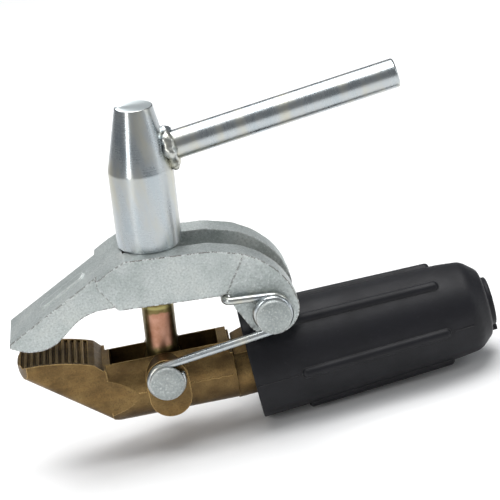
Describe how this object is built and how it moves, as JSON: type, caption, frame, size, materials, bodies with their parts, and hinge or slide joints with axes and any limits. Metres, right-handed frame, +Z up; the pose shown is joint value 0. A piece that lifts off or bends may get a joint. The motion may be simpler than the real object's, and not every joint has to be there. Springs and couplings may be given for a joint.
{
  "type": "welding ground clamp",
  "caption": "Screw-down welding ground clamp with brass lower jaw, plated steel upper jaw, swing bolt, lever nut, opening spring and ribbed rubber handle.",
  "frame": {"origin": "centre of the cable socket's mouth in the brass barrel", "axes": "+X out of the socket towards the handle's rear, +Z up through the nut, jaws towards -X"},
  "size_m": [0.2073, 0.0543, 0.1533],
  "materials": {
    "brass": "satin",
    "cast_zinc": "matte",
    "bright_zinc": "satin",
    "copper": "satin",
    "rubber": "matte",
    "dark_steel": "satin"
  },
  "bodies": {
    "base": {"lower_jaw": "brass", "hinge_pin": "cast_zinc", "hinge_pin_washer": "bright_zinc", "trunnion_pin": "cast_zinc", "trunnion_pin_washer": "bright_zinc", "opening_spring": "bright_zinc", "rubber_handle": "rubber", "cable_set_screws": "dark_steel"},
    "jaw": {"upper_jaw": "cast_zinc"},
    "bolt": {"swing_bolt": "copper"},
    "washer": {"thrust_washer": "bright_zinc"},
    "nut": {"clamp_nut": "bright_zinc", "lever_rod": "bright_zinc", "weld_bead": "bright_zinc"}
  },
  "joints": [
    {"name": "jaw_open", "type": "hinge", "parent": "base", "child": "jaw", "pos_m": [-0.03669, 0, 0.0311], "axis": [0, 1, 0], "range_deg": [-3.3, 18], "deforming": ["opening_spring"]},
    {"name": "bolt_swing", "type": "hinge", "parent": "base", "child": "bolt", "pos_m": [-0.08793, 0, 0.01083], "axis": [0, 1, 0], "range_deg": [-3.3, 18]},
    {"name": "nut_travel", "type": "slide", "parent": "bolt", "child": "washer", "axis": [0.1444, 0, 0.9895], "range_m": [-0.00275, 0.01505]},
    {"name": "nut_turn", "type": "hinge", "parent": "washer", "child": "nut", "pos_m": [-0.08793, 0, 0.01083], "axis": [0.1444, 0, 0.9895], "range_deg": [-490, 2700]}
  ],
  "couplings": [
    {"joint": "jaw_open", "follows": "nut_turn", "ratio": 0.0066626},
    {"joint": "bolt_swing", "follows": "nut_turn", "ratio": 0.0066626},
    {"joint": "nut_travel", "follows": "nut_turn", "m_per_rad": 0.00031831}
  ]
}
